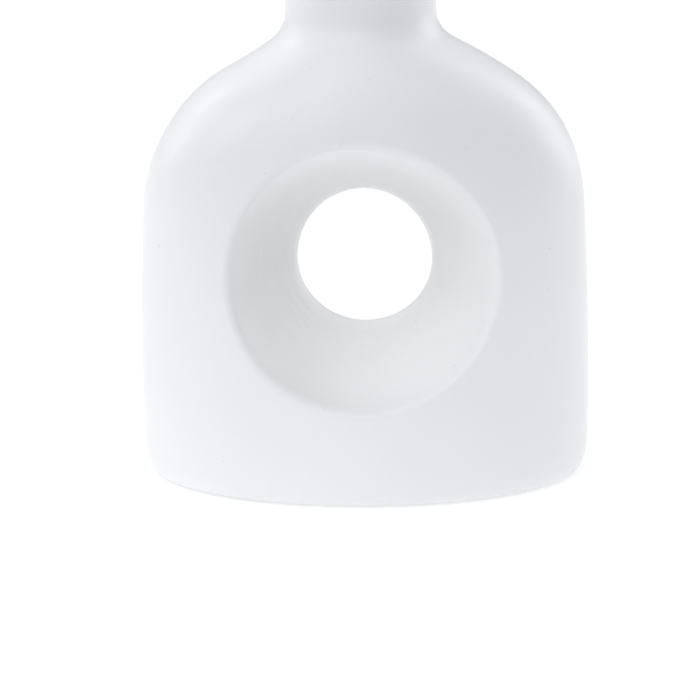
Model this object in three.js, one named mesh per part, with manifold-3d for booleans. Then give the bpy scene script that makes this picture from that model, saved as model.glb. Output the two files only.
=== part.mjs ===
// Ceramic bud vase: a flattened body with round shoulders, a dished tunnel right through it,
// a short round neck, and four rubber pads in the recess under its foot.
// Millimetres, +Z up, the front faces -Y. The origin is on the table, below the middle of the vase.

import * as THREE from 'three';
import { mergeVertices } from 'three/addons/utils/BufferGeometryUtils.js';
import Module from 'manifold-3d';

const wasm = await Module();
wasm.setup();

const radians = THREE.MathUtils.degToRad;
const { clamp, lerp } = THREE.MathUtils;

// ---- Driving dimensions. Heights are above the ceramic foot ring. ----

const HEIGHT = 180;               // foot ring to lip
const HALF_WIDTH = 75;            // at the widest height
const HALF_DEPTH = 48;            // at the foot, before its edge is rounded
const WALL = 5;                   // thickness of the casting
const NECK_RADIUS = 24.5;
const WIDEST_HEIGHT = 20;
const SIDE_RADIUS = 1100;         // the sides bulge by this large arc
const FACE_LEAN = radians(4);     // front and back faces lean in by this much

const SHOULDER = { from: 92.3, radius: 53.5, slope: radians(30.5), fillet: 11 };         // seen from the front
const FACE_SHOULDER = { from: 113.5, radius: 58.5, slope: radians(52), fillet: 12.5 };   // seen from a side

const FOOT_EDGE = { inset: 3.8, height: 11 };   // soft elliptical edge above the foot ring
const FOOT_RING_WIDTH = 7;
const FOOT_RECESS = 1.5;
const FLOOR = 6;                                // thickness of the floor above the recess
const FLOOR_EDGE = { inset: 9, height: 14 };    // rounding where the hollow meets the floor
const LIP = { inset: WALL / 2, height: WALL / 2 };

// Sections are superellipses: exponent 2 is an ellipse, and more is squarer.
const SQUARENESS = { foot: 2, shoulder: 2.26, shoulderHeight: 120, fadeFrom: 110, neckHeight: 142 };

const HOLE_HEIGHT = 72.8;
const THROAT = { radius: 22.4, round: 9, steepest: radians(44), bowlRadius: 61.6 };
const DISH_OVAL = 0.00088;        // the dish is wider than high by this share, per mm from the throat
const TUNNEL_CUT = 56;            // the cutting form runs this far, past the faces

const PAD = { radius: 5, edge: 0.5, thickness: 1.8, proud: 0.6, x: 42, y: 18 };

// Points round each form
const AROUND_BODY = 56;
const AROUND_HOLLOW = 32;
const AROUND_TUNNEL = 44;
const AROUND_SLEEVE = 32;
const AROUND_PAD = 24;

// ---- Outlines ----

// How far a rounded elliptical edge draws the wall in, at a distance from the edge's end.
function edgeInset(distance, { inset, height }) {
  const q = clamp(1 - distance / height, 0, 1);
  return inset * (1 - Math.sqrt(1 - q * q));
}

// Half-size by height: a wall, a round shoulder, a straight slope, a hollow fillet and the neck,
// each tangent to the next and joined at `stops`. `inset` moves the outline inwards, square to itself.
function outline(wallAt, lean, shoulder, inset) {
  const from = shoulder.from - inset * Math.sin(lean);
  const wall = (z) => wallAt(z) - inset / Math.cos(lean);
  const radius = shoulder.radius - inset;
  const fillet = shoulder.fillet + inset;
  const neck = NECK_RADIUS - inset;
  const { slope } = shoulder;

  const centre = { r: wall(from) - radius * Math.cos(lean), z: from - radius * Math.sin(lean) };
  const arcEnd = { r: centre.r + radius * Math.sin(slope), z: centre.z + radius * Math.cos(slope) };
  const filletR = neck + fillet;
  const filletZ = arcEnd.z + (fillet - (filletR - arcEnd.r) * Math.sin(slope)) / Math.cos(slope);
  const slopeEnd = filletZ - fillet * Math.cos(slope);
  const slopeRun = 1 / Math.tan(slope);

  const at = (z) => {
    if (z <= from) return wall(z);
    if (z <= arcEnd.z) return centre.r + Math.sqrt(radius ** 2 - (z - centre.z) ** 2);
    if (z <= slopeEnd) return arcEnd.r - (z - arcEnd.z) * slopeRun;
    if (z <= filletZ) return filletR - Math.sqrt(fillet ** 2 - (z - filletZ) ** 2);
    return neck;
  };
  return { at, stops: [from, arcEnd.z, slopeEnd, filletZ] };
}

function bodyOutlines(inset) {
  const side = (z) => HALF_WIDTH - (z - WIDEST_HEIGHT) ** 2 / (2 * SIDE_RADIUS);
  const face = (z) => HALF_DEPTH - z * Math.tan(FACE_LEAN);
  const sideLean = Math.atan((SHOULDER.from - WIDEST_HEIGHT) / SIDE_RADIUS);
  return {
    side: outline(side, sideLean, SHOULDER, inset),
    face: outline(face, FACE_LEAN, FACE_SHOULDER, inset),
  };
}

function squareness(z) {
  const { foot, shoulder, shoulderHeight, fadeFrom, neckHeight } = SQUARENESS;
  const body = lerp(foot, shoulder, clamp(z / shoulderHeight, 0, 1));
  return lerp(body, 2, clamp((z - fadeFrom) / (neckHeight - fadeFrom), 0, 1));
}

// Radius of the tunnel at a distance from the middle of the vase, moved outwards by `offset`.
function tunnelRadius(distance, offset) {
  const round = THROAT.round - offset;
  const bowl = THROAT.bowlRadius + offset;
  const s = Math.sin(THROAT.steepest);
  const c = Math.cos(THROAT.steepest);
  const joinRadius = THROAT.radius + offset + round * (1 - c);
  if (distance <= round * s) return THROAT.radius + offset + round - Math.sqrt(round ** 2 - distance ** 2);
  const bowlCentre = (round + bowl) * s;
  return joinRadius - bowl * c + Math.sqrt(bowl ** 2 - (distance - bowlCentre) ** 2);
}

// ---- Solids ----

function toSolid(geometry) {
  geometry.deleteAttribute('normal');
  geometry.deleteAttribute('uv');
  const merged = mergeVertices(geometry);
  const index = merged.index.array;
  const triangles = [];
  for (let i = 0; i < index.length; i += 3) {
    const [a, b, c] = index.slice(i, i + 3);
    if (a !== b && b !== c && c !== a) triangles.push(a, b, c);
  }
  return new wasm.Manifold(new wasm.Mesh({
    numProp: 3,
    vertProperties: merged.attributes.position.array,
    triVerts: new Uint32Array(triangles),
  }));
}

function toGeometry(solid) {
  const { vertProperties, triVerts } = solid.getMesh();
  const geometry = new THREE.BufferGeometry();
  geometry.setAttribute('position', new THREE.BufferAttribute(vertProperties, 3));
  geometry.setIndex(new THREE.BufferAttribute(triVerts, 1));
  return geometry;
}

// Heights from one end of each stretch to the other, in that many steps.
function rows(...stretches) {
  const heights = [stretches[0][0]];
  for (const [from, to, steps] of stretches) {
    for (let i = 1; i <= steps; i += 1) heights.push(lerp(from, to, i / steps));
  }
  return heights;
}

// The lip's rounding, with closer rows towards the top.
function lipRows() {
  const start = HEIGHT - LIP.height;
  const near = HEIGHT - LIP.height / 4;
  return [[start, near, 2], [near, HEIGHT, 1]];
}

// A lathe form of unit radius, reshaped so that its section at each height is a superellipse.
function loft(heights, halfX, halfY, around) {
  const wall = heights.map((z) => new THREE.Vector2(1, z));
  const start = new THREE.Vector2(0, heights[0]);
  const end = new THREE.Vector2(0, heights.at(-1));
  const geometry = new THREE.LatheGeometry([start, ...wall, end], around).rotateX(Math.PI / 2);
  const position = geometry.attributes.position;
  for (let i = 0; i < position.count; i += 1) {
    const [x, y, z] = [position.getX(i), position.getY(i), position.getZ(i)];
    const power = 2 / squareness(z);
    position.setXY(i, halfX(z) * Math.sign(x) * Math.abs(x) ** power,
      halfY(z) * Math.sign(y) * Math.abs(y) ** power);
  }
  return toSolid(geometry);
}

function outerBody() {
  const { side, face } = bodyOutlines(0);
  const trim = (z) => edgeInset(z, FOOT_EDGE) + edgeInset(HEIGHT - z, LIP);
  const [shoulder, slope, fillet, neck] = side.stops;
  const under = FOOT_EDGE.height;
  const heights = rows([0, under / 5, 2], [under / 5, under, 3], [under, shoulder, 6], [shoulder, slope, 8],
    [slope, fillet, 1], [fillet, neck, 4], [neck, HEIGHT - LIP.height, 1], ...lipRows());
  return loft(heights, (z) => side.at(z) - trim(z), (z) => face.at(z) - trim(z), AROUND_BODY);
}

// The space inside the wall, running out past the lip, where it flares by the lip's rounding.
function innerSpace() {
  const { side, face } = bodyOutlines(WALL);
  const bottom = FOOT_RECESS + FLOOR;
  const trim = (z) => edgeInset(z - bottom, FLOOR_EDGE) - edgeInset(HEIGHT - z, LIP);
  const [shoulder, slope, fillet, neck] = side.stops;
  const corner = bottom + FLOOR_EDGE.height / 5;
  const upright = bottom + FLOOR_EDGE.height;
  const heights = rows([bottom, corner, 2], [corner, upright, 2], [upright, shoulder, 3],
    [shoulder, slope, 5], [slope, fillet, 1], [fillet, neck, 4], [neck, HEIGHT - LIP.height, 1],
    ...lipRows(), [HEIGHT, HEIGHT + 1, 1]);
  return loft(heights, (z) => side.at(z) - trim(z), (z) => face.at(z) - trim(z), AROUND_HOLLOW);
}

function footRecess() {
  const { side, face } = bodyOutlines(0);
  const drawnIn = FOOT_EDGE.inset + FOOT_RING_WIDTH;
  return loft([-1, FOOT_RECESS], () => side.at(0) - drawnIn, () => face.at(0) - drawnIn, AROUND_HOLLOW);
}

// The tunnel lies along Y through the hole's centre: narrow at the throat, a wide dish at each face.
function tunnel(offset, around) {
  const roundEnd = THROAT.round * Math.sin(THROAT.steepest);
  const distances = rows([0, roundEnd, 2], [roundEnd, HALF_DEPTH, 5], [HALF_DEPTH, TUNNEL_CUT, 1]);
  const back = distances.map((d) => new THREE.Vector2(tunnelRadius(d, offset), d));
  const front = distances.slice(1).reverse().map((d) => new THREE.Vector2(tunnelRadius(d, offset), -d));
  const start = new THREE.Vector2(0, -TUNNEL_CUT);
  const end = new THREE.Vector2(0, TUNNEL_CUT);
  const geometry = new THREE.LatheGeometry([start, ...front, ...back, end], around);
  const position = geometry.attributes.position;
  for (let i = 0; i < position.count; i += 1) {
    position.setX(i, position.getX(i) * (1 + DISH_OVAL * Math.abs(position.getY(i))));
  }
  return toSolid(geometry.translate(0, 0, HOLE_HEIGHT));
}

// ---- Pieces ----

function vaseBody() {
  const hollow = innerSpace().subtract(tunnel(WALL, AROUND_SLEEVE));
  const solid = outerBody().subtract(footRecess()).subtract(tunnel(0, AROUND_TUNNEL)).subtract(hollow);
  const glaze = new THREE.MeshStandardMaterial({ color: 0xf2f3f4, roughness: 0.32, metalness: 0 });
  const mesh = new THREE.Mesh(toGeometry(solid), glaze);
  mesh.name = 'vase_body';
  mesh.position.z = PAD.proud;
  return mesh;
}

// A stick-on disc with a broken edge, flat on both faces.
function footPad(name, x, y) {
  const { radius, edge, thickness } = PAD;
  const profile = [[0, 0], [radius - edge, 0], [radius, edge], [radius, thickness], [0, thickness]];
  const geometry = new THREE.LatheGeometry(profile.map(([r, z]) => new THREE.Vector2(r, z)), AROUND_PAD);
  const rubber = new THREE.MeshStandardMaterial({ color: 0xd9dadb, roughness: 0.6, metalness: 0 });
  const mesh = new THREE.Mesh(toGeometry(toSolid(geometry.rotateX(Math.PI / 2))), rubber);
  mesh.name = name;
  mesh.position.set(x, y, 0);
  return mesh;
}

const group = new THREE.Group();
group.add(vaseBody());
for (const [end, y] of [['front', -PAD.y], ['rear', PAD.y]]) {
  for (const [hand, x] of [['left', -PAD.x], ['right', PAD.x]]) {
    group.add(footPad(`foot_pad_${end}_${hand}`, x, y));
  }
}

export default group;
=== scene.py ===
"""Looks of the ceramic bud vase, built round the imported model.

The vase is one glazed casting: a flattened body with round shoulders, a dished tunnel through it
and a short neck. It stands on four rubber pads. Sizes are in millimetres until MM turns them into
Blender's metres, and the nodes of the materials work in metres. The front faces -Y.
"""

import math

import bmesh
import bpy
import numpy as np
from mathutils import Matrix, Vector


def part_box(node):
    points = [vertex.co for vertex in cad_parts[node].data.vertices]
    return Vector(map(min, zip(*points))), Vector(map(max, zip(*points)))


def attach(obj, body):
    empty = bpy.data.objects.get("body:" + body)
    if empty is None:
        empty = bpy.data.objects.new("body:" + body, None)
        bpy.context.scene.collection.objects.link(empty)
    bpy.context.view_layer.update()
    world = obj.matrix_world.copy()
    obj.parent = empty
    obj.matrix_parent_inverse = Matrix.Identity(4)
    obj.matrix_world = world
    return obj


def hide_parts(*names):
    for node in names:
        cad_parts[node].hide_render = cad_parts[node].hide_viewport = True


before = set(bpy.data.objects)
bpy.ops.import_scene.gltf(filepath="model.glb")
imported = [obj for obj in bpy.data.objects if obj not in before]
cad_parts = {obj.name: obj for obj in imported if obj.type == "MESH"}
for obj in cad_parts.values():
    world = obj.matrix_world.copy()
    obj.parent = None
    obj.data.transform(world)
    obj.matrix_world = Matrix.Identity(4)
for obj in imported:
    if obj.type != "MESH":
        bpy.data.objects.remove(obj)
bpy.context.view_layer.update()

MM = 0.001

# ---- Sizes. Heights are above the ceramic foot ring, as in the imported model. ----

BODY_LOW, BODY_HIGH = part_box("vase_body")
FOOT_Z = BODY_LOW.z / MM
HEIGHT = (BODY_HIGH.z - BODY_LOW.z) / MM
HALF_WIDTH = 75.0
HALF_DEPTH = 48.0                 # of the faces' straight lines, at the foot ring's height
WALL = 5.0
NECK_RADIUS = 24.5
WIDEST_HEIGHT = 20.0
SIDE_RADIUS = 1100.0              # the slight bulge of the sides
FACE_LEAN = math.radians(4)
SHOULDER = dict(start=92.3, radius=53.5, slope=math.radians(30.5), fillet=11.0)
FACE_SHOULDER = dict(start=113.5, radius=58.5, slope=math.radians(52), fillet=12.5)
FOOT_EDGE = (3.8, 11.0)           # how far it draws in, and how high it reaches
FOOT_RING_WIDTH = 7.0
FOOT_RECESS = 1.5
CLAY_HEIGHT = 0.3                 # how far up the foot is left unglazed
FLOOR = 6.0
FLOOR_EDGE = (9.0, 14.0)          # of the hollow, as FOOT_EDGE
LIP = WALL / 2
# How far the sections are squarer than an ellipse, the height where they are squarest, and the
# heights between which they turn back into the round neck
SQUARER, SQUAREST_HEIGHT, ROUND_AGAIN = 0.26, 120.0, (110.0, 142.0)
HOLE_HEIGHT = 72.8
THROAT_RADIUS = 22.4
THROAT_ROUND = 9.0                # how round the tunnel's middle is, along its axis
THROAT_STEEPEST = math.radians(44)    # where that turns over into the hollow of the dish
BOWL_RADIUS = 61.6                # of the dish's hollow, along the axis
DISH_OVAL = 0.00088               # wider than tall by this share for each millimetre from the middle
RIM_ROUND = 2.8                   # rounding between the face and the dish

# Unevenness of the casting: bumps of sway to the right (size, height, spread), the neck's sway
# between two heights, and lobes round the hole's axis (size, how many, degrees to the first)
SWAY_BUMPS = ((0.8, 121, 17), (1.0, 139.8, 5.5))
NECK_SWAY = (-0.43, 135, 150)
THROAT_LOBES = ((0.27, 1, -31), (0.2, 2, -68), (0.15, 3, -30))
RIM_LOBES = ((0.55, 1, 105), (0.3, 2, -20), (0.38, 3, -7))
# Distances from the hole's axis over which each of these fades in or out
THROAT_FADES, RIM_RISES, RIM_FADES, SWAY_RISES = (25, 38), (27, 40), (46, 58), (45, 65)

# ---- Mesh density ----

AROUND = 192                      # points round the body; a multiple of 16
PATCH_MARGIN = AROUND // 16       # the front patch stops this many points from the sides
PATCH_LOW, PATCH_HIGH, PATCH_STEPS = 17.0, 123.0, 53
PATCH_ROWS = 20                   # from the patch's border to the rim
RIM_ROWS = 8
TUNNEL_ROWS = 44                  # from rim to rim
HOLLOW_ROWS = (8, 3, 20)          # the same three, for the hollow inside
CORNER_STEPS = 12                 # up the rounded edge of the foot or the floor
SPARSE_FROM = 152.0               # near the top of the fillet; rows are further apart above it
NEWTON_START = (41.0, 42.0)       # near every point of the rim: distance from the axis, depth
NEWTON_ROUNDS = 12


# ---- Outlines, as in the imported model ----

def edge_inset(distance, edge):
    inset, height = edge
    q = np.clip(1 - distance / height, 0, 1)
    return inset * (1 - np.sqrt(1 - q * q))


def outline(z, wall_at, lean, shoulder, inset):
    """Half-size at each height: wall, round shoulder, slope, hollow fillet and neck, all tangent."""
    start = shoulder["start"] - inset * math.sin(lean)
    radius = shoulder["radius"] - inset
    fillet = shoulder["fillet"] + inset
    slope = shoulder["slope"]
    neck = NECK_RADIUS - inset
    wall = wall_at(z) - inset / math.cos(lean)
    wall_start = wall_at(start) - inset / math.cos(lean)
    centre_r = wall_start - radius * math.cos(lean)
    centre_z = start - radius * math.sin(lean)
    arc_r = centre_r + radius * math.sin(slope)
    arc_z = centre_z + radius * math.cos(slope)
    fillet_r = neck + fillet
    fillet_z = arc_z + (fillet - (fillet_r - arc_r) * math.sin(slope)) / math.cos(slope)
    slope_z = fillet_z - fillet * math.cos(slope)
    arc = centre_r + np.sqrt(np.maximum(radius ** 2 - (z - centre_z) ** 2, 0))
    straight = arc_r - (z - arc_z) / math.tan(slope)
    hollow = fillet_r - np.sqrt(np.maximum(fillet ** 2 - (z - fillet_z) ** 2, 0))
    below = [z <= start, z <= arc_z, z <= slope_z, z <= fillet_z]
    return np.select(below, [wall, arc, straight, hollow], neck)


def half_sizes(z, inset):
    """Half-width and half-depth of the body at each height, `inset` inside its surface."""
    side_lean = math.atan((SHOULDER["start"] - WIDEST_HEIGHT) / SIDE_RADIUS)
    side = outline(z, lambda h: HALF_WIDTH - (h - WIDEST_HEIGHT) ** 2 / (2 * SIDE_RADIUS), side_lean,
                   SHOULDER, inset)
    face = outline(z, lambda h: HALF_DEPTH - h * math.tan(FACE_LEAN), FACE_LEAN, FACE_SHOULDER, inset)
    if inset:
        bottom = FOOT_RECESS + FLOOR
        trim = edge_inset(z - bottom, FLOOR_EDGE)
    else:
        trim = edge_inset(z, FOOT_EDGE)
    return side - trim, face - trim


def squareness(z):
    """Exponent of the superellipse at each height: 2 is an ellipse, more is squarer."""
    low, high = ROUND_AGAIN
    body = 2.0 + SQUARER * np.clip(z / SQUAREST_HEIGHT, 0, 1)
    return body + (2 - body) * np.clip((z - low) / (high - low), 0, 1)


def power(value, exponent):
    return np.sign(value) * np.abs(value) ** exponent


def section(turn, z, inset):
    """The body's surface at an angle round it (0 at +X, a quarter turn at the front) and a height."""
    half_x, half_y = half_sizes(z, inset)
    exponent = 2 / squareness(z)
    x = half_x * power(np.cos(turn), exponent)
    y = -half_y * power(np.sin(turn), exponent)
    return np.stack(np.broadcast_arrays(x, y, z), -1)


def face_depth(x, z, inset):
    """How far in front of the middle plane the body's surface is."""
    half_x, half_y = half_sizes(z, inset)
    n = squareness(z)
    return half_y * np.maximum(1 - np.abs(x / half_x) ** n, 1e-9) ** (1 / n)


def turn_at(x, z, inset):
    """The angle round the body, as in section(), of a point on its front face."""
    half_x, _ = half_sizes(z, inset)
    return np.arccos(np.clip(power(x / half_x, squareness(z) / 2), -1, 1))


def tunnel_radius(distance, direction, offset):
    """Radius of the tunnel, in a direction round its axis, at a distance from the middle plane."""
    rounding = THROAT_ROUND - offset
    bowl = BOWL_RADIUS + offset
    s, c = math.sin(THROAT_STEEPEST), math.cos(THROAT_STEEPEST)
    distance = np.abs(distance)
    join = THROAT_RADIUS + offset + rounding * (1 - c)
    throat = THROAT_RADIUS + offset + rounding - np.sqrt(np.maximum(rounding ** 2 - distance ** 2, 0))
    dish = join - bowl * c + np.sqrt(bowl ** 2 - (distance - (rounding + bowl) * s) ** 2)
    radius = np.where(distance <= rounding * s, throat, dish)
    oval = 1 + DISH_OVAL * distance
    return radius / np.hypot(np.cos(direction) / oval, np.sin(direction))


# ---- Surfaces, as grids of points ----

def rim_corner(direction, into_body, into_tunnel, inset):
    """The points, in each direction round the hole, at two given depths under the surfaces.

    Newton's method in the plane of the direction: `r` is the distance from the hole's axis and
    `d` the distance in front of the middle plane.
    """
    def misses(r, d):
        step = 0.01
        x, z = r * np.cos(direction), HOLE_HEIGHT + r * np.sin(direction)
        ahead_x, ahead_z = (r + step) * np.cos(direction), HOLE_HEIGHT + (r + step) * np.sin(direction)
        face = face_depth(x, z, inset)
        face_slope = (face_depth(ahead_x, ahead_z, inset) - face) / step
        wall = tunnel_radius(d, direction, inset)
        wall_slope = (tunnel_radius(d + step, direction, inset) - wall) / step
        under_face = (face - d) / np.sqrt(1 + face_slope ** 2)
        under_wall = (r - wall) / np.sqrt(1 + wall_slope ** 2)
        return under_face - into_body, under_wall - into_tunnel

    h = 1e-4
    r = np.full(np.broadcast(direction, into_body).shape, NEWTON_START[0])
    d = np.full(r.shape, NEWTON_START[1])
    for _ in range(NEWTON_ROUNDS):
        a, b = misses(r, d)
        a_r, b_r = misses(r + h, d)
        a_d, b_d = misses(r, d + h)
        j11, j12, j21, j22 = (a_r - a) / h, (a_d - a) / h, (b_r - b) / h, (b_d - b) / h
        det = j11 * j22 - j12 * j21
        r = r - (j22 * a - j12 * b) / det
        d = d - (j11 * b - j21 * a) / det
    return r, d


def stretch(*pieces):
    """Heights from one end of each piece to the other, in that many steps."""
    heights = [np.array([pieces[0][0]])]
    for low, high, steps in pieces:
        heights.append(np.linspace(low, high, steps + 1)[1:])
    return np.concatenate(heights)


def corner_heights(bottom, edge, steps):
    """Heights up a rounded elliptical edge, evenly spaced along it."""
    return bottom + edge[1] * (1 - np.cos(np.linspace(0, math.pi / 2, steps + 1)))


TURNS = 2 * np.pi * np.arange(AROUND) / AROUND
PATCH_TURNS = np.arange(PATCH_MARGIN, AROUND // 2 - PATCH_MARGIN + 1)


def mirrored(points):
    return points * np.array([1, -1, 1])


def body_rows(inset):
    """The heights of a skin's rows, from its foot or floor to the top of the straight neck."""
    bottom, edge = (FOOT_RECESS + FLOOR, FLOOR_EDGE) if inset else (0.0, FOOT_EDGE)
    corner = corner_heights(bottom, edge, CORNER_STEPS)
    corner = corner[corner < PATCH_LOW - 1]
    rest = stretch((corner[-1], PATCH_LOW, 3), (PATCH_LOW, PATCH_HIGH, PATCH_STEPS),
                   (PATCH_HIGH, SPARSE_FROM, 22), (SPARSE_FROM, HEIGHT - LIP, 9))
    return np.concatenate([corner, rest[1:]])


def patch_border():
    """Turn and height of each point round the border of the front patch, anticlockwise."""
    turns = TURNS[PATCH_TURNS]
    heights = np.linspace(PATCH_LOW, PATCH_HIGH, PATCH_STEPS + 1)
    across, up = np.ones(len(turns) - 1), np.ones(len(heights) - 1)
    turn = np.concatenate([turns[0] * up, turns[:-1], turns[-1] * up, turns[:0:-1]])
    height = np.concatenate([heights[:-1], PATCH_HIGH * across, heights[:0:-1], PATCH_LOW * across])
    return turn, height


def front_patch(inset, rows, rim_rows):
    """From the border in to the rim and over it: rows of points, and where the tunnel wall begins."""
    turn, height = patch_border()
    border = section(turn, height, inset)
    direction = np.arctan2(border[:, 2] - HOLE_HEIGHT, border[:, 0])
    angle = np.linspace(0, math.pi / 2, rim_rows + 1)[:, None]
    r, d = rim_corner(direction, RIM_ROUND * (1 - np.cos(angle)), RIM_ROUND * (1 - np.sin(angle)), inset)
    rim = np.stack([r * np.cos(direction), -d, HOLE_HEIGHT + r * np.sin(direction)], -1)
    rim_turn = turn_at(rim[0, :, 0], rim[0, :, 2], inset)
    crowding = 1.5                # the rows lie closer together towards the rim
    share = 1 - (1 - np.linspace(0, 1, rows + 1)[:, None]) ** crowding
    across = section(turn + (rim_turn - turn) * share, height + (rim[0, :, 2] - height) * share, inset)
    across[0] = border
    return np.concatenate([across[:-1], rim]), direction, d[-1]


def tunnel_wall(direction, reach, inset, rows):
    """From the front rim to the back one, `reach` away from the middle in each direction."""
    crowding = 1.3                # the rows lie closer together towards the throat
    along = np.linspace(1, -1, rows + 1)[:, None]
    distance = power(along, crowding) * reach
    radius = tunnel_radius(distance, direction, inset)
    return np.stack([radius * np.cos(direction), -distance, HOLE_HEIGHT + radius * np.sin(direction)], -1)


class Skin:
    """Gathers grids of points into one mesh; points that coincide are merged at the end."""

    def __init__(self):
        self.points, self.faces, self.count = [], [], 0

    def grid(self, points, keep=None):
        """Quads between rows of points, each row closed into a ring; `keep` says which quads stay."""
        rows, columns = points.shape[:2]
        left = self.count + np.arange(rows * columns).reshape(rows, columns)
        right = np.roll(left, -1, axis=1)
        quads = np.stack([left[:-1], right[:-1], right[1:], left[1:]], -1)
        if keep is not None:
            quads = quads[keep]
        self.points.append(points.reshape(-1, 3))
        self.faces.extend(quads.reshape(-1, 4).tolist())
        self.count += rows * columns

    def disc(self, ring):
        """Closes a ring with rows of points that shrink to its middle."""
        middle = ring.mean(0)
        share = np.array([1, 0.85, 0.65, 0.45, 0.25, 0.08])[:, None, None]
        rows = middle + (ring - middle) * share
        self.grid(rows)
        last = self.count - len(ring) + np.arange(len(ring))
        self.points.append(middle[None])
        self.faces.extend([[int(a), int(b), self.count] for a, b in zip(last, np.roll(last, -1))])
        self.count += 1

    def mesh(self, name, deform):
        points = deform(np.concatenate(self.points)) * MM
        data = bpy.data.meshes.new(name)
        data.from_pydata(points.tolist(), [], self.faces)
        form = bmesh.new()
        form.from_mesh(data)
        bmesh.ops.remove_doubles(form, verts=form.verts, dist=1e-6)
        bmesh.ops.delete(form, geom=[v for v in form.verts if not v.link_faces], context="VERTS")
        bmesh.ops.recalc_face_normals(form, faces=form.faces)
        form.to_mesh(data)
        form.free()
        data.shade_smooth()
        return data


def add_skin(skin, inset, patch_rows, rim_rows, tunnel_rows):
    """The outer skin, or the skin of the hollow inside it: body, both dishes and the tunnel."""
    heights = body_rows(inset)
    body = section(TURNS, heights[:, None], inset)
    keep = np.ones((len(heights) - 1, AROUND), bool)
    low = int(np.argmin(np.abs(heights - PATCH_LOW)))
    first, last = PATCH_TURNS[0], PATCH_TURNS[-1]
    keep[low:low + PATCH_STEPS, first:last] = False
    keep[low:low + PATCH_STEPS, AROUND - last:AROUND - first] = False
    skin.grid(body, keep=keep)
    patch, direction, reach = front_patch(inset, patch_rows, rim_rows)
    skin.grid(patch)
    skin.grid(mirrored(patch))
    skin.grid(tunnel_wall(direction, reach, inset, tunnel_rows))
    return body


def foot(skin):
    """The flat foot ring, the step up into the recess, and the recess."""
    half_x, half_y = (float(v[0]) for v in half_sizes(np.zeros(1), 0))
    exponent = 2 / squareness(0.0)
    step = 0.5
    angle = np.linspace(0, math.pi / 2, 4)
    drawn_in = [*np.linspace(0, FOOT_RING_WIDTH - step, 4),
                *(FOOT_RING_WIDTH - step + step * np.sin(angle[1:])),
                *(FOOT_RING_WIDTH + step * (1 - np.cos(angle)))]
    heights = [*np.zeros(4),
               *(step * (1 - np.cos(angle[1:]))),
               *(FOOT_RECESS - step + step * np.sin(angle))]
    rows = [np.stack([(half_x - inward) * power(np.cos(TURNS), exponent),
                      -(half_y - inward) * power(np.sin(TURNS), exponent),
                      np.full(AROUND, height)], -1) for inward, height in zip(drawn_in, heights)]
    skin.grid(np.stack(rows))
    skin.disc(rows[-1])


def lip(skin):
    """The half-round rim of the mouth, from the outside of the neck to the inside."""
    angle = np.linspace(0, math.pi, 13)
    radius = (NECK_RADIUS - LIP + LIP * np.cos(angle))[:, None]
    height = HEIGHT - LIP + LIP * np.sin(angle)[:, None]
    x, y = radius * np.cos(TURNS), -radius * np.sin(TURNS)
    skin.grid(np.stack(np.broadcast_arrays(x, y, height), -1))


def smooth_step(value, low, high):
    share = np.clip((value - low) / (high - low), 0, 1)
    return share * share * (3 - 2 * share)


def lobes(turn, waves):
    return sum(size * np.cos(count * (turn - math.radians(start))) for size, count, start in waves)


def cast_unevenly(points):
    """The slight unevenness of a hand-finished casting.

    The shoulders sit a little right and the neck a little left. The throat and the rim of the dish
    are a fraction of a millimetre out of round, each by a few lobes.
    """
    x, z = points[:, 0], points[:, 2]
    sway = sum(size * np.exp(-((z - height) / spread) ** 2) for size, height, spread in SWAY_BUMPS)
    neck_sway, neck_low, neck_high = NECK_SWAY
    sway += neck_sway * smooth_step(z, neck_low, neck_high)
    reach = np.hypot(x, z - HOLE_HEIGHT)
    turn = np.arctan2(z - HOLE_HEIGHT, x)
    near_throat = 1 - smooth_step(reach, *THROAT_FADES)
    near_rim = smooth_step(reach, *RIM_RISES) * (1 - smooth_step(reach, *RIM_FADES)) * (z > PATCH_LOW)
    grow = near_throat * lobes(turn, THROAT_LOBES) + near_rim * lobes(turn, RIM_LOBES)
    moved = points.copy()
    moved[:, 0] += sway * smooth_step(reach, *SWAY_RISES) + grow * np.cos(turn)
    moved[:, 2] += FOOT_Z + grow * np.sin(turn)
    return moved


def vase_mesh():
    skin = Skin()
    add_skin(skin, 0.0, PATCH_ROWS, RIM_ROWS, TUNNEL_ROWS)
    hollow = add_skin(skin, WALL, *HOLLOW_ROWS)
    foot(skin)
    skin.disc(hollow[0])
    lip(skin)
    return skin.mesh("vase", cast_unevenly)


def new_object(name, data):
    made = bpy.data.objects.new(name, data)
    bpy.context.scene.collection.objects.link(made)
    return made


# ---- Materials ----

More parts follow.
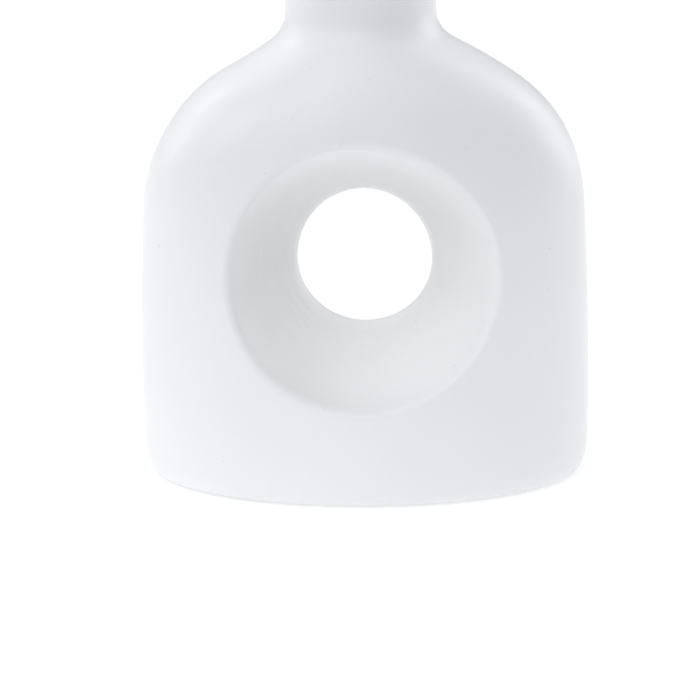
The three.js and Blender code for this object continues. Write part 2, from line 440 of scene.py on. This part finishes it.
class Nodes:
    """Short ways to add and link the nodes of one material or world."""

    def __init__(self, owner):
        owner.use_nodes = True
        self.tree = owner.node_tree
        self.tree.nodes.clear()

    def add(self, kind, **settings):
        node = self.tree.nodes.new("ShaderNode" + kind)
        for name, value in settings.items():
            setattr(node, name, value)
        return node

    def link(self, source, target):
        if isinstance(source, bpy.types.NodeSocket):
            self.tree.links.new(source, target)
        else:
            target.default_value = source

    def math(self, operation, *values):
        node = self.add("Math", operation=operation)
        for value, socket in zip(values, node.inputs):
            self.link(value, socket)
        return node.outputs[0]

    def vector(self, operation, *values):
        node = self.add("VectorMath", operation=operation)
        for value, socket in zip(values, node.inputs):
            self.link(value, socket)
        is_number = operation in ("DISTANCE", "LENGTH", "DOT_PRODUCT")
        return node.outputs["Value" if is_number else "Vector"]

    def place(self):
        return self.add("TexCoord").outputs["Object"]

    def noise(self, scale, detail=3.0, roughness=0.5, at=None):
        noise = self.add("TexNoise")
        self.link(at or self.place(), noise.inputs["Vector"])
        noise.inputs["Scale"].default_value = scale
        noise.inputs["Detail"].default_value = detail
        noise.inputs["Roughness"].default_value = roughness
        return noise.outputs["Fac"]

    def cells(self, scale):
        """Distance to the nearest of scattered points, in cells, and a random colour for each point."""
        voronoi = self.add("TexVoronoi")
        self.link(self.place(), voronoi.inputs["Vector"])
        voronoi.inputs["Scale"].default_value = scale
        return voronoi.outputs["Distance"], voronoi.outputs["Color"]

    def ramp(self, value, low, high, to_low=0.0, to_high=1.0):
        node = self.add("MapRange", interpolation_type="SMOOTHSTEP")
        self.link(value, node.inputs["Value"])
        limits = (("From Min", low), ("From Max", high), ("To Min", to_low), ("To Max", to_high))
        for name, number in limits:
            node.inputs[name].default_value = number
        return node.outputs[0]

    def mix(self, share, first, second):
        node = self.add("Mix", data_type="RGBA")
        self.link(share, node.inputs[0])
        for value, socket in ((first, node.inputs[6]), (second, node.inputs[7])):
            self.link(value if isinstance(value, bpy.types.NodeSocket) else (*value, 1), socket)
        return node.outputs[2]

    def bump(self, height, distance, strength=1.0, normal=None):
        node = self.add("Bump")
        self.link(height, node.inputs["Height"])
        node.inputs["Distance"].default_value = distance
        node.inputs["Strength"].default_value = strength
        if normal is not None:
            self.link(normal, node.inputs["Normal"])
        return node.outputs[0]


def principled(name, **settings):
    material = bpy.data.materials.new(name)
    nodes = Nodes(material)
    shader = nodes.add("BsdfPrincipled")
    for socket, value in settings.items():
        shader.inputs[socket.replace("_", " ")].default_value = value
    output = nodes.add("OutputMaterial")
    nodes.link(shader.outputs[0], output.inputs["Surface"])
    return material, nodes, shader


GLAZE_COLOR = (0.966, 0.955, 0.945)
SPECK_COLOR = (0.66, 0.62, 0.58)
GLAZE_ROUGHNESS = (0.285, 0.325)
CLOUD_DARKNESS = 0.985                     # the darker clouds, as a share of the glaze's colour
PINHOLE = (-0.0449, -0.0319, 0.1114)       # on the left shoulder
PINHOLE_SIZES = (0.0004, 0.0009, 0.0013)   # radius of its bottom, its edge and the stain round it
RING_SHARPNESS, RING_SPREAD = 800, 1.6     # of the sponged rings: noise per metre out, and per radian
RINGS_END = (0.030, 0.040)                 # how far from the hole's axis they fade out


def specks(nodes, cell, radius, kept):
    """Scattered round specks: a share of them kept, each with a strength of its own."""
    distance, colour = nodes.cells(1 / cell)
    split = nodes.add("SeparateXYZ")
    nodes.link(colour, split.inputs[0])
    here = nodes.ramp(distance, 0.6 * radius / cell, radius / cell, 1.0, 0.0)
    return nodes.math("MULTIPLY", here, nodes.ramp(split.outputs["X"], 1 - kept, 1))


def sponged_rings(nodes):
    """Fine rings round the hole, inside the dish, where the wet clay was sponged on the wheel."""
    hole = (0, 0, (HOLE_HEIGHT + FOOT_Z) * MM)
    out = nodes.vector("MULTIPLY", nodes.vector("SUBTRACT", nodes.place(), hole), (1, 0, 1))
    split = nodes.add("SeparateXYZ")
    nodes.link(out, split.inputs[0])
    reach = nodes.vector("LENGTH", out)
    turn = nodes.math("ARCTAN2", split.outputs["Z"], split.outputs["X"])
    spot = nodes.add("CombineXYZ")
    nodes.link(nodes.math("MULTIPLY", reach, RING_SHARPNESS), spot.inputs["X"])
    nodes.link(nodes.math("MULTIPLY", turn, RING_SPREAD), spot.inputs["Y"])
    inside = nodes.ramp(reach, *RINGS_END, 1.0, 0.0)
    return nodes.math("MULTIPLY", nodes.noise(1.0, at=spot.outputs[0]), inside)


def glaze_material():
    """Satin white glaze: soft clouds, fine grain, sparse iron specks, a pinhole and rings in the dish."""
    material, nodes, shader = principled("satin_white_glaze", IOR=1.5)
    white = nodes.mix(nodes.ramp(nodes.noise(22, detail=4), 0.3, 0.7), GLAZE_COLOR,
                      tuple(CLOUD_DARKNESS * c for c in GLAZE_COLOR))
    grainy = nodes.mix(nodes.ramp(nodes.noise(2200, detail=2), 0.25, 0.75, 0, 0.05), white, SPECK_COLOR)
    large = specks(nodes, cell=0.006, radius=0.00033, kept=0.3)
    small = specks(nodes, cell=0.003, radius=0.0002, kept=0.4)
    dotted = nodes.mix(small, nodes.mix(large, grainy, SPECK_COLOR), SPECK_COLOR)
    from_pinhole = nodes.vector("DISTANCE", nodes.place(), PINHOLE)
    bottom, edge, stain = PINHOLE_SIZES
    pit = nodes.ramp(from_pinhole, bottom, edge)
    ring = nodes.math("MULTIPLY", pit, nodes.ramp(from_pinhole, edge, stain, 0.12, 0.0))
    nodes.link(nodes.mix(ring, dotted, SPECK_COLOR), shader.inputs["Base Color"])
    nodes.link(nodes.ramp(nodes.noise(60, detail=5), 0.3, 0.7, *GLAZE_ROUGHNESS), shader.inputs["Roughness"])
    bump = nodes.bump(nodes.noise(30, detail=2), 0.0005, 0.6)
    bump = nodes.bump(sponged_rings(nodes), 0.00045, 1.0, bump)
    bump = nodes.bump(pit, 0.0002, 0.5, bump)
    bump = nodes.bump(nodes.noise(1500, detail=3), 0.00003, 0.5, bump)
    nodes.link(bump, shader.inputs["Normal"])
    return material


def clay_material():
    """Bare fired clay of the foot ring, matte and slightly sandy."""
    material, nodes, shader = principled("unglazed_clay", IOR=1.45)
    sand = nodes.noise(900, detail=6, roughness=0.7)
    nodes.link(nodes.mix(nodes.ramp(sand, 0.35, 0.65), (0.66, 0.62, 0.56), (0.74, 0.71, 0.66)),
               shader.inputs["Base Color"])
    nodes.link(nodes.ramp(sand, 0.3, 0.7, 0.8, 0.95), shader.inputs["Roughness"])
    nodes.link(nodes.bump(sand, 0.0001), shader.inputs["Normal"])
    return material


def rubber_material():
    """Milky silicone rubber."""
    material, nodes, shader = principled("silicone_rubber", IOR=1.42, Subsurface_Weight=0.3,
                                         Subsurface_Radius=(0.001, 0.001, 0.001))
    cloud = nodes.noise(400, detail=3)
    nodes.link(nodes.mix(cloud, (0.62, 0.63, 0.64), (0.70, 0.71, 0.72)), shader.inputs["Base Color"])
    nodes.link(nodes.ramp(cloud, 0.3, 0.7, 0.42, 0.5), shader.inputs["Roughness"])
    nodes.link(nodes.bump(nodes.noise(3000), 0.00002), shader.inputs["Normal"])
    return material


# ---- The pieces ----

def make_vase():
    """The glazed casting; its lowest faces are the bare clay of the foot ring."""
    data = vase_mesh()
    data.materials.append(glaze_material())
    data.materials.append(clay_material())
    ring_top = (FOOT_Z + CLAY_HEIGHT) * MM
    for face in data.polygons:
        if max(data.vertices[v].co.z for v in face.vertices) < ring_top:
            face.material_index = 1
    vase = new_object("vase_glazed_body", data)
    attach(vase, "root")
    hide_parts("vase_body")


def pad_mesh(name, low, high, material):
    """A soft-edged disc, turned from its half outline: flat on both faces."""
    centre = (low + high) / 2
    radius, thickness = (high.x - low.x) / 2, high.z - low.z
    soft = 0.4 * MM
    angle = np.linspace(-math.pi / 2, math.pi / 2, 13)
    r = radius - soft + soft * np.cos(angle)
    z = np.where(angle < 0, soft, thickness - soft) + soft * np.sin(angle)
    turns = 2 * np.pi * np.arange(48) / 48
    skin = Skin()
    side = np.stack([r[:, None] * np.cos(turns), r[:, None] * np.sin(turns), z[:, None] + 0 * turns], -1)
    skin.grid(side)
    skin.disc(side[0])
    skin.disc(side[-1])
    data = skin.mesh(name, lambda points: (points + np.array([centre.x, centre.y, low.z])) / MM)
    data.materials.append(material)
    return data


def make_pads():
    rubber = rubber_material()
    for end in ("front", "rear"):
        for hand in ("left", "right"):
            node = f"foot_pad_{end}_{hand}"
            pad = new_object("rubber_" + node, pad_mesh(node, *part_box(node), rubber))
            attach(pad, "root")
            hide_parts(node)


make_vase()
make_pads()


# ---- Studio ----

LIGHT_COLOR = (0.933, 0.96, 1.0, 1)
TABLE_GREYS = ((0.60, 0.60, 0.60), (0.62, 0.62, 0.62))
TABLE_GLOW = 0.52
GLOW_BEGINS, GLOW_FULL = -0.34, -0.17    # in Y, in front of the vase
STUDIO_DIM = 0.04
# Softboxes and white boards, as soft patches of the world: azimuth from the front (right is positive),
# elevation, sharpness of the patch's edge, brightness
SOFTBOXES = (
    (-15, 38, 12, 1.70),          # large, above the camera
    (0, 68, 12, 0.9),             # large, overhead
    (-64, 31, 70, 2.5),           # left front, two small ones
    (-32, 46, 60, 1.5),
    (30, 50, 60, 1.1),            # right front
    (120, 8, 12, 2.3),            # right rear board, with a tall strip above it
    (104, 18, 120, 2.0),
    (130, 30, 90, 2.2),
    (122, 50, 60, 1.1),
    (-120, 8, 12, 0.4),           # left rear board, with a tall strip above it
    (-108, 19, 120, 2.6),
    (-122, 35, 120, 2.8),
    (-150, 50, 3, 1.03),          # the bright room behind
)


def make_floor():
    """A pale light table: it glows from just in front of the vase to the far side."""
    material, nodes, shader = principled("pale_floor", Roughness=0.9, Specular_IOR_Level=0.1)
    nodes.link(nodes.mix(nodes.noise(3), *TABLE_GREYS), shader.inputs["Base Color"])
    split = nodes.add("SeparateXYZ")
    nodes.link(nodes.place(), split.inputs[0])
    shader.inputs["Emission Color"].default_value = LIGHT_COLOR
    glow = nodes.ramp(split.outputs["Y"], GLOW_BEGINS, GLOW_FULL, 0.0, TABLE_GLOW)
    nodes.link(glow, shader.inputs["Emission Strength"])
    data = bpy.data.meshes.new("floor")
    reach, top = 12.0, -0.0001
    corners = [(-reach, -reach, top), (reach, -reach, top), (reach, reach, top), (-reach, reach, top)]
    data.from_pydata(corners, [], [(0, 1, 2, 3)])
    data.materials.append(material)
    new_object("floor", data)


def make_lights():
    """The world, dim but for the soft patches of SOFTBOXES."""
    world = bpy.data.worlds.new("studio")
    bpy.context.scene.world = world
    nodes = Nodes(world)
    towards = nodes.add("TexCoord").outputs["Generated"]
    total = STUDIO_DIM
    for azimuth, elevation, sharpness, brightness in SOFTBOXES:
        az, el = math.radians(azimuth), math.radians(elevation)
        centre = (math.sin(az) * math.cos(el), -math.cos(az) * math.cos(el), math.sin(el))
        nearness = nodes.math("SUBTRACT", nodes.vector("DOT_PRODUCT", towards, centre), 1)
        patch = nodes.math("EXPONENT", nodes.math("MULTIPLY", nearness, sharpness))
        total = nodes.math("MULTIPLY_ADD", patch, brightness, total)
    background = nodes.add("Background")
    nodes.link(total, background.inputs["Strength"])
    background.inputs["Color"].default_value = LIGHT_COLOR
    nodes.link(background.outputs[0], nodes.add("OutputWorld").inputs["Surface"])


make_floor()
make_lights()
bpy.context.scene.view_settings.view_transform = "Standard"


# ---- Camera ----

def aim_camera():
    """A long lens, 15 degrees up and a little to the right, with the neck cut by the top of the view.

    Distances are in millimetres and angles in degrees.
    """
    distance, elevation, azimuth, roll = 773.3, 15.00, 1.50, -0.62
    aside, target_height = -5.03, 40.03
    el, az, turn = (math.radians(v) for v in (elevation, azimuth, roll))
    back = Vector((math.sin(az) * math.cos(el), -math.cos(az) * math.cos(el), math.sin(el)))
    right = Vector((math.cos(az), math.sin(az), 0))
    up = back.cross(right)
    tilted_right = math.cos(turn) * right + math.sin(turn) * up
    tilted_up = math.cos(turn) * up - math.sin(turn) * right
    place = Vector((0, 0, target_height + FOOT_Z)) + aside * right + distance * back
    data = bpy.data.cameras.new("camera")
    data.sensor_width = 36
    data.lens = 118.3
    data.clip_end = 100
    camera = new_object("camera", data)
    axes = Matrix((tilted_right, tilted_up, back)).transposed()
    camera.matrix_world = Matrix.Translation(place * MM) @ axes.to_4x4()
    bpy.context.scene.camera = camera


aim_camera()
